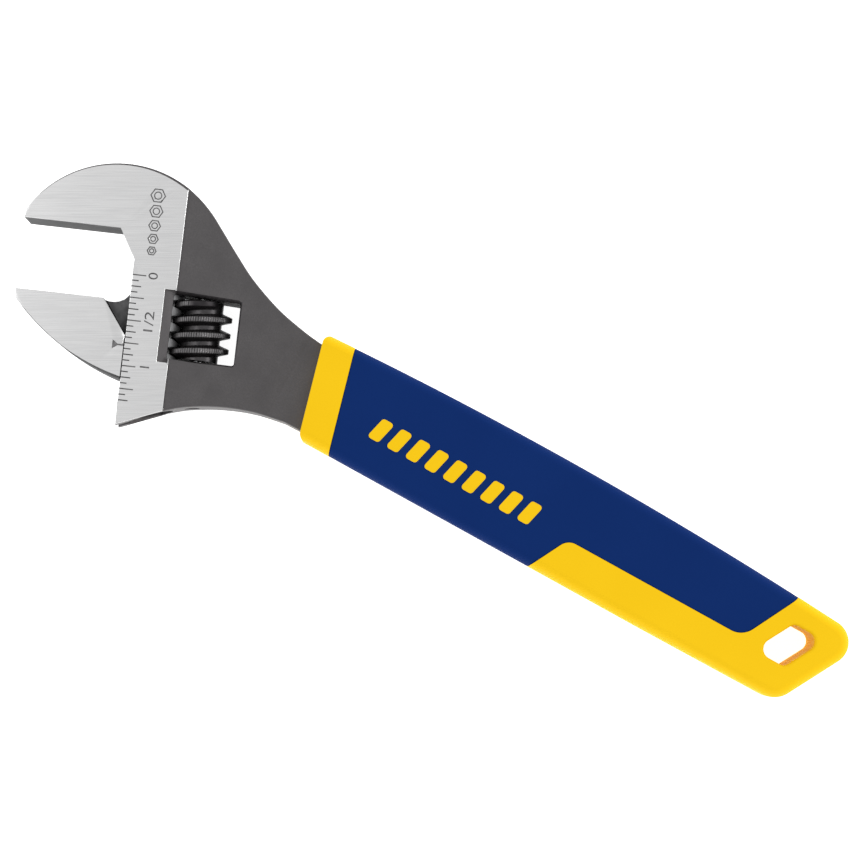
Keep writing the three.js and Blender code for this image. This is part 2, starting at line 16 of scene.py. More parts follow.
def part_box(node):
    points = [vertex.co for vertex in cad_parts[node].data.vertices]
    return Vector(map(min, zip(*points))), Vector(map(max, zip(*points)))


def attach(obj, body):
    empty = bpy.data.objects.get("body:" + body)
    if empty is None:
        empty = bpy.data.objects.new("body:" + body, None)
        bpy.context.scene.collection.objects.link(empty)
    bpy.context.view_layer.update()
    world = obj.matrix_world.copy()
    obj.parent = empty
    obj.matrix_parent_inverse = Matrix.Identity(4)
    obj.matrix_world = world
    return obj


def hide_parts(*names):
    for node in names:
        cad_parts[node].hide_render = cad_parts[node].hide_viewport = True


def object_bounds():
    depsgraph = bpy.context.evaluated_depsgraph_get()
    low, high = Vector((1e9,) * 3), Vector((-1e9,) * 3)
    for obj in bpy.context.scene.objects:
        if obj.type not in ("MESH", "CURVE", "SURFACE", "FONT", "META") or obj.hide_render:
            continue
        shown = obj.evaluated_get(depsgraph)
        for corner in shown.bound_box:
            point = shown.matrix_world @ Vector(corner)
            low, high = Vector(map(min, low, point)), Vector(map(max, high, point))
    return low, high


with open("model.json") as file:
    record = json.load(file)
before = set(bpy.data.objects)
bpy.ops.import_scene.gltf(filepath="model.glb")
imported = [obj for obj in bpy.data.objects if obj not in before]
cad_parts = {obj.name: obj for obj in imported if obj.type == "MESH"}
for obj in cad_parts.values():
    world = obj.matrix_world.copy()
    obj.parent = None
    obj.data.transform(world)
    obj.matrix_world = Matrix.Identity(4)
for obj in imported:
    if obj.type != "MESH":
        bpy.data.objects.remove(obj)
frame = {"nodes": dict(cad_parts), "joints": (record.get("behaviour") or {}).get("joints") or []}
CAD_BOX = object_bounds()

MM = 0.001
JOINTS = {joint["name"]: joint for joint in frame["joints"]}
ORIGIN = Vector(JOINTS["worm_spin"]["pos_m"])
V_AXIS = Vector(JOINTS["worm_spin"]["axis"])
Z_AXIS = Vector((0, 0, 1))
U_AXIS = V_AXIS.cross(Z_AXIS)

# ---------------------------------------------------------------- driving dimensions
# Head
HEAD_TOP = (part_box("movable_jaw")[1].z - ORIGIN.z) / MM  # height of the ground faces
SHANK_TOP = 5.2
GROUND_EDGE_U = -7.5  # right edge of the ground faces
STRIP_EDGE_U = -20.15  # left edge of the strip that carries the scale
STEP_LIP_U = -12  # right of this the edge of the ground face is a lip of painted highlight
THROAT_FOOT_V = 14  # above this the fixed jaw's inner wall is milled
WINDOW_REACH = 11.2  # half size of the area round the worm's window
RELIEF_INNER_U = -7.6  # the sloped relief ends at the window, left of this
CROWN_BEVEL = 0.7  # rounding of the forging's own edges
WINDOW_BEVEL = 0.45
FINE_BEVEL = 0.18  # rounding of ground and cut edges

# The crown is the head's round outer edge. Angles run round its centre in degrees, from +u to +v.
CROWN = {"u": -24.4, "v": 11.48, "radius": 31.37, "depth": 1, "foot": 10}
CROWN_RIM = 0.7  # widest rounding that the ground face leaves on the crown
CROWN_RIM_SPAN = (60, 135)  # the rim is that wide up to the first angle and fine from the second
OXIDE_RIM_END = 140  # the rim is dark up to this angle
RIM_DEPTH = CROWN_RIM + 0.02  # every rim's faces lie within this of the ground faces

# Marks on the head and the jaw
ENGRAVED = 0.12  # depth of every mark
MARK_CLEARANCE = 1  # the tools that cut the marks stand this far above the surface
MARK_OVERRUN = 0.5  # a mark that meets the strip's edge is cut from this far beyond it
SCALE_ZERO_V = 12.35
INCH = 25.4
TICKS = 23
TICK_WIDTH = 0.33
TICK_LENGTHS = ((8, 3.8), (4, 3.9), (2, 2.75), (1, 1.9))  # for every 8th, 4th, 2nd and other tick
# Each numeral as its text, its place (u, v) and how much it is widened
NUMERALS = (("0", -14.3, 12.5, 1.15), ("1/2", -14.0, -0.6, 1.42), ("1", -13.7, -12.85, 1.2))
NUMERAL_HEIGHT = 2.7
NUMERAL_HALF = 0.5  # half thickness of the tool that cuts a numeral
FONT_HEIGHT = 0.72  # height of a numeral as a share of the font's size
NUT_ROW = {"u": -15.7, "first_v": 18.2, "radii": (1.4, 1.6, 1.8, 2.0, 2.2), "gap": 0.75}
NUT_LINE = 0.36
NUT_BORE = 0.52  # radius of the bore as a share of the nut's
NUT_BORE_LINE = 0.3
NUT_BORE_SIDES = 24
POINTER = {"v": -7.42, "base": 3.3, "tip": 1.5, "half": 1.25}  # base and tip are left of the strip
POINTER_LINE = {"length": 2, "half": 0.22}

# Movable jaw
UNDERSIDE_BEVEL = 0.75  # rounding of the jaw's underside at the strip
UNDERSIDE_START_U = -35  # where it starts to widen
JAW_RIM_DEPTH = 0.3  # its other rims' faces lie within this of the ground faces
CLOSER = 0.08  # how far the bright faces move towards the strip
SIDE_BAND = 0.5  # their sides lie within this of the strip's edge
SIDE_FOOT_Z = 3.2  # and above this height
RACK_LEFT_U = -17.5  # left side of the bar that carries the rack
WEB_TOP = 3.1  # the web between bar and jaw lies below this height
WEB_CORNER = {"u": -27.5, "v": -9}  # its lower left corner

# Worm
PITCH = 4.4
FRONT_CREST_V = -2.2  # a crest's height on the upper side of the worm
THREAD = {"crest": 8.2, "root": 5.44, "crest_half": 0.6, "root_half": 0.56, "straight": 0.45}
THREAD_FULL = (-8, 6.2)  # between these heights the crest is full
THREAD_RUN_OUT = 1.05  # it falls to the root over this much more
WORM_LOW = -9.1
WORM_HIGH = 7.6
WORM_ROWS = 130
KNURL_COUNT = 72  # notches round each crest
KNURL_DEPTH = 0.22
KNURL_STEPS = 3  # points of a ring for each notch
PIN_HOLE_RADIUS = 2.1
CREST_LIGHTENING_REACH = 0.4  # the crests' lightening fades out over this depth below the crest
ROOT_HIGHLIGHT_REACH = 0.35  # and the roots' painted highlight over this height above the root
ROOT_HIGHLIGHT = 0.35  # how bright the roots' painted highlight and the notches are, where a crest is 1
NOTCH_BRIGHTENING = 0.35

# Grip, with outlines as (x, y, corner radius)
GRIP_OUTLINE = [
    (20, -13.74, 0),
    (150, -13.74, 2000),
    (189.04, -13.43, 7),
    (203.78, 13.36, 6.4),
    (110.3, 19.83, 1279),
    (20, 14.81, 0),
]
GRIP_EDGE = {"across": 3.0, "deep": 5.2, "steps": 12}
BLUE_INSET = 0.05
COLLAR_TILT = math.radians(15)
COLLAR_FRONT_X = 35.1
COLLAR_BACK_X = 44.45
COLLAR_FOOT_Y = -13.8
COLLAR_TOP_Y = 15.5
COLLAR_BACK_RISE = 0.8  # the collar's back edge runs this much higher, past the grip
COLLAR_CORNER = 2.4
PAST_TAIL_X = 250
FAR = 60  # well past the part's sides
REAR_REGION = [
    (PAST_TAIL_X, -39, 0),
    (PAST_TAIL_X, 46.5, 0),
    (197.5, 46.5, 0),
    (171.9, -2.4, 6),
    (117.3, -2.4, 4),
    (98.1, -39, 0),
]
HANG_HOLE = {"x": 184.4, "y": 1.74, "half_width": 4.75, "half_height": 5.77, "lean": math.radians(29)}
HANG_HOLE_CORNERS = (2.8, 2.0)
HANG_HOLE_RIM = 0.9
SEAM = 0.12  # gap between the two colours
BAR_BEVEL = 0.12

# Looks and setting
BRUSHING = math.radians(-28.9)  # the ground faces are brushed along this direction
CAMERA_AT = (80.324, -43.960, 798.319)  # in the handle frame
CAMERA_AIM = (67.365, 6.843, 0)
CAMERA_UP = (-0.48372, 0.87292, 0.06340)  # the picture's upward direction
CAMERA_LENS = 121.68
CAMERA_SENSOR = 36
CAMERA_RANGE = 20  # metres
FLOOR_REACH = 6.0  # in lengths of the part's box
FLOOR_GLOW = 0.92
WORLD_STRENGTH = 0.87
# Two softboxes, turned from straight above towards +u, with their size in metres and their power
SOFTBOXES = (
    ("left_softbox", math.radians(-30), 0.25, 0.9),
    ("right_softbox", math.radians(62), 0.3, 2.0),
)
SOFTBOX_RISE = 0.15  # both also stand a little to the +v side

# Making and telling apart faces
ARC_STEP = math.radians(5)  # longest step round an arc
ARC_CHORD = 6  # and its longest chord
BEVEL_ANGLE = math.radians(28)  # edges sharper than this can be rounded
SMOOTH_ANGLE = math.radians(30)  # edges sharper than this stay sharp in the shading
NEAR = 0.1  # a point this near to a height or a line is beside it
TOUCH = 0.01  # and this near it is on it
# Limits for the size of a face's normal along Z, which is 1 when the face is level
FLAT = 0.9999
LEVEL = 0.99
WINDOW_LEVEL = 0.985  # faces steeper than this get the window's painted shade
NEARLY_LEVEL = 0.9
STEEP = 0.3
UPRIGHT = 0.1
# Limits for how far it points towards -v
UNDERSIDE_WALL = 0.5
MILLED_WALL = 0.7
LIP_SIDE = 0.3
UNDERSIDE = 0.15


# ---------------------------------------------------------------- places
def from_handle(x, y, z=0.0):
    return ORIGIN + Vector((x, y, z)) * MM


def from_jaw(u, v, z=0.0):
    return ORIGIN + (U_AXIS * u + V_AXIS * v + Z_AXIS * z) * MM


def in_jaw(point):
    """A point of the model as (u, v, z) of the jaw frame."""
    away = (Vector(point) - ORIGIN) / MM
    return away.dot(U_AXIS), away.dot(V_AXIS), away.z


def in_handle(point):
    return (Vector(point) - ORIGIN) / MM


# ---------------------------------------------------------------- outlines
def corner_at(corners, i):
    """A corner, the directions to its neighbours, and the direction and half angle of its inside."""
    point = Vector(corners[i][:2])
    before = (Vector(corners[i - 1][:2]) - point).normalized()
    after = (Vector(corners[(i + 1) % len(corners)][:2]) - point).normalized()
    inward = (before + after).normalized()
    return point, before, after, inward, before.angle(after) / 2


def rounded(corners):
    """Points of an outline through (x, y, radius) corners."""
    points = []
    for i, (_, _, radius) in enumerate(corners):
        point, before, after, inward, half_angle = corner_at(corners, i)
        if radius == 0:
            points.append(point)
            continue
        reach = radius / math.tan(half_angle)
        centre = point + inward * (radius / math.sin(half_angle))
        start = point + before * reach - centre
        turn = math.pi - 2 * half_angle
        if before.cross(after) > 0:
            turn = -turn
        count = max(2, math.ceil(abs(turn) / ARC_STEP), math.ceil(abs(turn) * radius / ARC_CHORD))
        points += [centre + Matrix.Rotation(turn * k / count, 2) @ start for k in range(count + 1)]
    return points


def grown(corners, distance):
    """The same anticlockwise corners with every side moved outwards."""
    moved = []
    for i, (_, _, radius) in enumerate(corners):
        point, before, after, inward, half_angle = corner_at(corners, i)
        side = 1 if before.cross(after) < 0 else -1
        point = point - inward * (side * distance / math.sin(half_angle))
        moved.append((point.x, point.y, radius + side * distance if radius else 0))
    return moved


def leaning(x, y, half_width, half_height, lean, corners):
    """A rectangle that leans from +Y towards +X and keeps its ends level."""
    shift = half_height * math.tan(lean)
    acute, obtuse = corners
    return [
        (x - half_width - shift, y - half_height, acute),
        (x + half_width - shift, y - half_height, obtuse),
        (x + half_width + shift, y + half_height, acute),
        (x - half_width + shift, y + half_height, obtuse),
    ]


# ---------------------------------------------------------------- meshes
def new_object(name, bm):
    mesh = bpy.data.meshes.new(name)
    bm.to_mesh(mesh)
    bm.free()
    piece = bpy.data.objects.new(name, mesh)
    bpy.context.scene.collection.objects.link(piece)
    return piece


def copy_of_node(name, node):
    """A copy of a CAD node with its triangles joined into flat faces."""
    bm = bmesh.new()
    bm.from_mesh(frame["nodes"][node].data)
    bmesh.ops.remove_doubles(bm, verts=bm.verts, dist=2e-3 * MM)
    bmesh.ops.dissolve_limit(bm, angle_limit=math.radians(0.5), verts=bm.verts, edges=bm.edges)
    bmesh.ops.recalc_face_normals(bm, faces=bm.faces)
    return new_object(name, bm)


def stack(name, rings, place, closed=False):
    """A mesh through rings of (x, y, z) points, with flat ends or its last ring joined to the first."""
    bm = bmesh.new()
    rows = [[bm.verts.new(place(*point)) for point in ring] for ring in rings]
    count = len(rows[0])
    following = rows[1:] + rows[:1] if closed else rows[1:]
    for low, high in zip(rows, following):
        for k in range(count):
            after = (k + 1) % count
            bm.faces.new((low[k], low[after], high[after], high[k]))
    if not closed:
        bm.faces.new(list(reversed(rows[0])))
        bm.faces.new(rows[-1])
    bmesh.ops.recalc_face_normals(bm, faces=bm.faces)
    return new_object(name, bm)


def prism(name, outline, low, high, place=from_handle):
    rings = [[(p[0], p[1], z) for p in outline] for z in (low, high)]
    return stack(name, rings, place)


def bake(piece):
    """Makes the result of a piece's modifiers its own mesh."""
    depsgraph = bpy.context.evaluated_depsgraph_get()
    mesh = bpy.data.meshes.new_from_object(piece.evaluated_get(depsgraph))
    piece.modifiers.clear()
    old = piece.data
    piece.data = mesh
    bpy.data.meshes.remove(old)


def combine(piece, tool, operation="DIFFERENCE"):
    """Cuts a tool out of a piece, or keeps what both share, and removes the tool."""
    modifier = piece.modifiers.new("cut", "BOOLEAN")
    modifier.operation = operation
    modifier.solver = "EXACT"
    modifier.material_mode = "TRANSFER"
    modifier.object = tool
    bake(piece)
    bpy.data.objects.remove(tool)


def add_bevel(piece, width, segments):
    """Rounds edges by their bevel weights, where width is that of weight 1."""
    modifier = piece.modifiers.new("round", "BEVEL")
    modifier.width = width * MM
    modifier.segments = segments
    modifier.limit_method = "WEIGHT"
    modifier.use_clamp_overlap = False
    modifier.miter_outer = "MITER_ARC"
    modifier.loop_slide = True
    bake(piece)


def weigh_edges(piece, weight_of):
    """Gives each convex sharp edge the bevel weight that weight_of(edge) asks for."""
    bm = bmesh.new()
    bm.from_mesh(piece.data)
    layer = bm.edges.layers.float.new("bevel_weight_edge")
    for edge in bm.edges:
        if len(edge.link_faces) == 2 and edge.is_convex and edge.calc_face_angle() > BEVEL_ANGLE:
            edge[layer] = weight_of(edge)
    bm.to_mesh(piece.data)
    bm.free()


def smooth(piece, angle=SMOOTH_ANGLE, flat_tops=False):
    """Smooth shading that keeps corners sharp, and level faces quite flat where flat_tops asks for it."""
    for polygon in piece.data.polygons:
        polygon.use_smooth = not (flat_tops and abs(polygon.normal.z) > FLAT)
    piece.data.set_sharp_from_angle(angle=angle)
    modifier = piece.modifiers.new("normals", "WEIGHTED_NORMAL")
    modifier.keep_sharp = True
    modifier.weight = 60


def paint_faces(piece, finishes, choose):
    """Gives each face the finish that choose(centre, normal) names."""
    piece.data.materials.clear()
    for finish in finishes:
        piece.data.materials.append(MATERIALS[finish])
    for polygon in piece.data.polygons:
        polygon.material_index = finishes.index(choose(polygon.center, polygon.normal))


def triangulate(piece):
    bm = bmesh.new()
    bm.from_mesh(piece.data)
    bmesh.ops.triangulate(bm, faces=bm.faces)
    bm.to_mesh(piece.data)
    bm.free()


# ---------------------------------------------------------------- material nodes
class Nodes:
    """A material's node tree with a short way to add and link nodes."""

    def __init__(self, name, color, metallic, roughness):
        self.material = bpy.data.materials.new(name)
        self.material.use_nodes = True
        self.tree = self.material.node_tree
        self.shader = self.tree.nodes["Principled BSDF"]
        self.shader.inputs["Base Color"].default_value = (*color, 1)
        self.shader.inputs["Metallic"].default_value = metallic
        self.shader.inputs["Roughness"].default_value = roughness
        self.place = self.add("ShaderNodeTexCoord").outputs["Object"]

    def add(self, kind, inputs=None, **settings):
        node = self.tree.nodes.new(kind)
        for key, value in settings.items():
            setattr(node, key, value)
        for key, value in (inputs or {}).items():
            if isinstance(value, bpy.types.NodeSocket):
                self.tree.links.new(value, node.inputs[key])
            else:
                node.inputs[key].default_value = value
        return node

    def mapped(self, scale, turn=0.0):
        """The object's own coordinates, turned about Z and then stretched."""
        turned = self.add("ShaderNodeMapping", {"Vector": self.place, "Rotation": (0, 0, turn)})
        stretched = self.add("ShaderNodeMapping", {"Vector": turned.outputs["Vector"], "Scale": scale})
        return stretched.outputs["Vector"]

    def noise(self, scale, detail=3.0, vector=None):
        inputs = {"Vector": vector or self.place, "Scale": scale, "Detail": detail}
        return self.add("ShaderNodeTexNoise", inputs).outputs["Fac"]

    def spread(self, value, low, high, from_low=0.3, from_high=0.7):
        inputs = {"Value": value, "From Min": from_low, "From Max": from_high}
        inputs |= {"To Min": low, "To Max": high}
        return self.add("ShaderNodeMapRange", inputs).outputs["Result"]

    def blend(self, factor, color_a, color_b):
        node = self.add("ShaderNodeMix", {"Factor": factor}, data_type="RGBA")
        for socket, color in ((node.inputs[6], color_a), (node.inputs[7], color_b)):
            if isinstance(color, bpy.types.NodeSocket):
                self.tree.links.new(color, socket)
            else:
                socket.default_value = (*color, 1)
        return node.outputs[2]

    def join(self, value, socket):
        self.tree.links.new(value, self.shader.inputs[socket])

    def bump(self, height, distance, strength):
        inputs = {"Height": height, "Distance": distance * MM, "Strength": strength}
        return self.add("ShaderNodeBump", inputs).outputs["Normal"]


def scaled(color, factor):
    return tuple(channel * factor for channel in color)


# ---------------------------------------------------------------- materials
def ground_steel():
    """Bright steel with fine straight brushing and a few longer scratches."""
    steel = Nodes("ground_steel", (0.62, 0.62, 0.62), 0.9, 0.36)
    fine = steel.noise(1.0, 2.0, steel.mapped((90, 3800, 900), BRUSHING))
    coarse = steel.noise(1.0, 3.0, steel.mapped((25, 900, 300), BRUSHING))
    cloud = steel.noise(60.0, 2.0)
    tone = steel.blend(steel.spread(fine, 0, 1), (0.60, 0.60, 0.605), (0.71, 0.71, 0.71))
    tone = steel.blend(steel.spread(coarse, 0, 0.3), tone, (0.54, 0.54, 0.545))
    tone = steel.blend(steel.spread(cloud, 0, 0.25), tone, (0.70, 0.70, 0.70))
    steel.join(tone, "Base Color")
    steel.join(steel.spread(coarse, 0.20, 0.28), "Roughness")
    steel.join(steel.bump(fine, 0.02, 0.35), "Normal")
    return steel.material


def shaded_machined_steel(name, tone, edge_tint):
    """Milled walls, duller than the ground faces: their dark tone is partly painted shade, and edge_tint
    dulls them further where they are seen edge on, as painted shade.
    """
    steel = Nodes(name, scaled((1, 1, 1.02), tone), 0.85, 0.45)
    steel.shader.inputs["Specular Tint"].default_value = (edge_tint, edge_tint, edge_tint, 1)
    marks = steel.noise(1.0, 2.0, steel.mapped((500, 500, 5200)))
    cloud = steel.noise(220.0, 3.0)
    mixed = steel.blend(
        steel.spread(marks, 0, 1), scaled((1, 1, 1.02), tone * 0.75), scaled((1, 1, 1.02), tone * 1.25)
    )
    mixed = steel.blend(steel.spread(cloud, 0, 0.4), mixed, scaled((1, 1, 1), tone * 0.6))
    steel.join(mixed, "Base Color")
    steel.join(steel.bump(marks, 0.02, 0.3), "Normal")
    return steel.material


def painted_highlight_edge():
    """A lip of painted highlight round the bright faces, painted brighter than the ground steel."""
    edge = Nodes("painted_highlight_edge", (0.8, 0.8, 0.8), 1.0, 0.3)
    nicks = edge.noise(700.0, 3.0)
    edge.join(edge.blend(edge.spread(nicks, 0, 1), (0.74, 0.74, 0.74), (0.86, 0.86, 0.86)), "Base Color")
    return edge.material


def window_painted_shade():
    """The oxide in the window, painted near black as shade on its walls and rims."""
    oxide = Nodes("window_painted_shade", (0.03, 0.028, 0.029), 0.5, 0.55)
    oxide.shader.inputs["Specular Tint"].default_value = (0.25, 0.25, 0.25, 1)
    grain = oxide.noise(1500.0, 3.0)
    tone = oxide.blend(oxide.spread(grain, 0, 1), (0.02, 0.018, 0.019), (0.045, 0.042, 0.044))
    oxide.join(tone, "Base Color")
    oxide.join(oxide.bump(grain, 0.03, 0.3), "Normal")
    return oxide.material


def oxide_steel():
    """Forged steel under a dark grey satin oxide, with faint mottling."""
    oxide = Nodes("oxide_steel", (0.1, 0.095, 0.097), 0.7, 0.5)
    grain = oxide.noise(2600.0, 3.0)
    cloud = oxide.noise(140.0, 4.0)
    tone = oxide.blend(oxide.spread(cloud, 0, 1), (0.088, 0.083, 0.085), (0.112, 0.106, 0.108))
    tone = oxide.blend(oxide.spread(grain, 0, 0.5), tone, (0.07, 0.066, 0.068))
    oxide.join(tone, "Base Color")
    oxide.join(oxide.spread(cloud, 0.46, 0.56), "Roughness")
    oxide.join(oxide.bump(grain, 0.03, 0.35), "Normal")
    return oxide.material


def engraving():
    """The bottom and walls of the marks, left dark by the oxide."""
    mark = Nodes("engraving", (0.13, 0.128, 0.13), 0.4, 0.6)
    dirt = mark.noise(900.0, 3.0)
    mark.join(mark.blend(mark.spread(dirt, 0, 1), (0.1, 0.098, 0.1), (0.2, 0.197, 0.2)), "Base Color")
    return mark.material


def worm_steel():
    """Dark oxide, lighter on the thread's crests, with a painted highlight on its roots."""
    worm = Nodes("worm_steel", (0.035, 0.033, 0.035), 0.85, 0.36)
    cloud = worm.noise(700.0, 3.0)
    grain = worm.noise(3000.0, 2.0)
    brightening = worm.add("ShaderNodeAttribute", attribute_name="brightening").outputs["Fac"]
    dark = worm.blend(worm.spread(cloud, 0, 1), (0.024, 0.022, 0.024), (0.042, 0.038, 0.040))
    lightness = worm.blend(worm.spread(cloud, 0, 1), (0.10, 0.096, 0.098), (0.16, 0.155, 0.158))
    worm.join(worm.blend(brightening, dark, lightness), "Base Color")
    worm.join(worm.spread(brightening, 0.44, 0.30, 0, 1), "Roughness")
    worm.join(worm.bump(grain, 0.02, 0.3), "Normal")
    return worm.material


def bright_wire():
    """Drawn wire and the turned pin: plain bright steel with turning marks."""
    wire = Nodes("bright_steel", (0.62, 0.62, 0.63), 1.0, 0.22)
    marks = wire.noise(2500.0, 2.0)
    wire.join(wire.blend(wire.spread(marks, 0, 1), (0.5, 0.5, 0.51), (0.72, 0.72, 0.73)), "Base Color")
    wire.join(wire.spread(marks, 0.18, 0.3), "Roughness")
    return wire.material


def moulding(name, color, dark, roughness, gloss, grain_depth):
    """A moulded surface with a fine spark-eroded grain and slight unevenness in its colour."""
    plastic = Nodes(name, color, 0.0, roughness)
    plastic.shader.inputs["Specular IOR Level"].default_value = gloss
    grain = plastic.noise(2400.0, 2.0)
    cloud = plastic.noise(45.0, 2.0)
    tone = plastic.blend(plastic.spread(cloud, 0, 1), color, dark)
    tone = plastic.blend(plastic.spread(grain, 0, 0.35), tone, scaled(dark, 0.93))
    plastic.join(tone, "Base Color")
    plastic.join(plastic.spread(cloud, roughness - 0.04, roughness + 0.05), "Roughness")
    plastic.join(plastic.bump(grain, grain_depth, 0.4), "Normal")
    return plastic.material


def floor_material():
    """White paper, lit from below enough to stay white under the wrench."""
    floor = Nodes("floor", (0.85, 0.85, 0.85), 0.0, 0.9)
    fibre = floor.noise(400.0, 3.0)
    floor.join(floor.blend(floor.spread(fibre, 0, 1), (0.84, 0.84, 0.84), (0.87, 0.87, 0.87)), "Base Color")
    floor.shader.inputs["Emission Color"].default_value = (1, 1, 1, 1)
    floor.shader.inputs["Emission Strength"].default_value = FLOOR_GLOW
    return floor.material


MATERIALS = {
    "ground": ground_steel(),
    # painted shade: the milled walls' dark tone stands in for the shade on them
    "shaded_machined": shaded_machined_steel("shaded_machined_steel", 0.13, 0.35),
    "web": shaded_machined_steel("web_steel", 0.1, 0.35),
    "rack": shaded_machined_steel("rack_steel", 0.17, 0.5),
    "lip": painted_highlight_edge(),
    "shadow": window_painted_shade(),
    "oxide": oxide_steel(),
    "engraving": engraving(),
    "worm": worm_steel(),
    "bright": bright_wire(),
    "blue": moulding("blue_grip", (0.0062, 0.0275, 0.142), (0.0057, 0.0255, 0.134), 0.6, 0.01, 0.03),
    "yellow": moulding("yellow_grip", (0.94, 0.585, 0.0105), (0.91, 0.56, 0.009), 0.5, 0.02, 0.015),
}


# ---------------------------------------------------------------- head
def near_window(u, v):
    return max(abs(u), abs(v)) < WINDOW_REACH


def clamped(share):
    return min(1.0, max(0.0, share))


def is_ground_top(z, normal):
    """Whether a face lies level at the height of the ground faces."""
    return abs(z) > HEAD_TOP - TOUCH and abs(normal.z) > LEVEL


def crown_angle(u, v):
    """Angle round the crown in degrees, or None away from it."""
    across = u - CROWN["u"]
    along = v - CROWN["v"]
    if math.hypot(across, along) < CROWN["radius"] - CROWN["depth"] or along < CROWN["foot"]:
        return None
    return math.degrees(math.atan2(along, across))


def ground_rim(places):
    """Width of a ground face's rim: fine, but the crown keeps the forging's rounding on its right."""
    angles = [crown_angle(u, v) for u, v, _ in places]
    if None in angles:
        return FINE_BEVEL
    wide_until, fine_from = CROWN_RIM_SPAN
    share = clamped((fine_from - min(angles)) / (fine_from - wide_until))
    return FINE_BEVEL + (CROWN_RIM - FINE_BEVEL) * share


def head_edge_weight(edge):
    """The forging's own edges are rounded widely, cut and ground edges only a little."""
    places = [in_jaw(vert.co) for vert in edge.verts]
    normals = [abs(face.normal.z) for face in edge.link_faces]
    if max(normals) < NEARLY_LEVEL or min(normals) > STEEP:
        return 0.0
    lowest = min(abs(z) for _, _, z in places)
    if lowest > HEAD_TOP - NEAR:
        return ground_rim(places) / CROWN_BEVEL
    if any(near_window(u, v) for u, v, _ in places):
        beside_relief = any(u < RELIEF_INNER_U for u, _, _ in places)
        return 0.0 if beside_relief else WINDOW_BEVEL / CROWN_BEVEL
    return 1.0 if lowest > SHANK_TOP - NEAR else 0.0


def rim_finish(u, v, faces_down):
    """The crown's rim is dark and then bright; other rims are bright, some of them as a lip of painted
    highlight.
    """
    angle = crown_angle(u, v)
    if angle is not None:
        return "ground" if angle > OXIDE_RIM_END else "oxide"
    under_fixed_jaw = u < STRIP_EDGE_U and faces_down > LIP_SIDE
    # painted highlight: the lip finish is painted brighter than the ground steel
    return "lip" if u > STEP_LIP_U or under_fixed_jaw else "ground"


def body_finish(centre, normal):
    """The finish of a face of the forged body."""
    u, v, z = in_jaw(centre)
    upward = abs(normal.z)
    faces_down = -normal.dot(V_AXIS)
    if is_ground_top(z, normal):
        return "ground"
    if abs(z) > HEAD_TOP - RIM_DEPTH and upward > UPRIGHT and u < GROUND_EDGE_U + NEAR:
        return rim_finish(u, v, faces_down)
    # painted shade: steep faces round the window, and the relief's steeper faces, get the near-black window
    # finish
    painted_shade_below = NEARLY_LEVEL if u < RELIEF_INNER_U else WINDOW_LEVEL
    if near_window(u, v) and upward < painted_shade_below:
        return "shadow"
    # painted shade: the fixed jaw's milled inner wall gets the dark milled finish
    if u < STRIP_EDGE_U and v > THROAT_FOOT_V and faces_down > MILLED_WALL:
        return "shaded_machined"
    return "oxide"


def rectangle(left, low, right, high):
    return [(left, low), (right, low), (right, high), (left, high)]


def mark_prism(name, outline):
    """The tool that cuts one mark of an outline in the jaw frame."""
    return prism(name, outline, HEAD_TOP - ENGRAVED, HEAD_TOP + MARK_CLEARANCE, from_jaw)


def scale_marks():
    """Sixteenth-inch ticks on the strip, longer at eighths, quarters and halves."""
    marks = []
    for i in range(TICKS):
        v = SCALE_ZERO_V - i * INCH / 16
        length = next(length for step, length in TICK_LENGTHS if i % step == 0)
        start = STRIP_EDGE_U - MARK_OVERRUN
        marks.append(rectangle(start, v - TICK_WIDTH / 2, STRIP_EDGE_U + length, v + TICK_WIDTH / 2))
    return marks


def polygon_round(centre, radius, sides):
    turns = [2 * math.pi * k / sides for k in range(sides)]
    return [centre + Vector((radius * math.cos(turn), radius * math.sin(turn))) for turn in turns]


def nut_marks():
    """A row of hexagon nuts of rising size, as pairs of outer and inner outline."""
    marks = []
    v = NUT_ROW["first_v"]
    for radius in NUT_ROW["radii"]:
        half = radius * math.cos(math.pi / 6)
        v += half
        centre = Vector((NUT_ROW["u"], v))
        bore = radius * NUT_BORE
        for outer, line, sides in ((radius, NUT_LINE, 6), (bore, NUT_BORE_LINE, NUT_BORE_SIDES)):
            marks.append((polygon_round(centre, outer, sides), polygon_round(centre, outer - line, sides)))
        v += half + NUT_ROW["gap"]
    return marks


def ring_prism(name, outer, inner):
    """The tool that cuts a line between two outlines of the jaw frame."""
    low = HEAD_TOP - ENGRAVED
    high = HEAD_TOP + MARK_CLEARANCE
    rings = []
    for outline, z in ((outer, low), (outer, high), (inner, high), (inner, low)):
        rings.append([(p.x, p.y, z) for p in outline])
    return stack(name, rings, from_jaw, closed=True)


def lettering(text, u, v, stretch):
    """A solid numeral on the strip: it reads along +v, with its top towards -u."""
    curve = bpy.data.curves.new("numeral", "FONT")
    curve.body = text
    curve.align_x = "CENTER"
    curve.align_y = "CENTER"
    curve.size = NUMERAL_HEIGHT / FONT_HEIGHT * MM
    curve.extrude = NUMERAL_HALF * MM
    curve.resolution_u = 4
    writer = bpy.data.objects.new("numeral", curve)
    bpy.context.scene.collection.objects.link(writer)
    depsgraph = bpy.context.evaluated_depsgraph_get()
    mesh = bpy.data.meshes.new_from_object(writer.evaluated_get(depsgraph))
    bpy.data.objects.remove(writer)
    turn = Matrix((V_AXIS * stretch, -U_AXIS, Z_AXIS)).transposed()
    middle = from_jaw(u, v, HEAD_TOP - ENGRAVED + NUMERAL_HALF)
    mesh.transform(Matrix.Translation(middle) @ turn.to_4x4())
    piece = bpy.data.objects.new("numeral", mesh)
    bpy.context.scene.collection.objects.link(piece)
    return piece


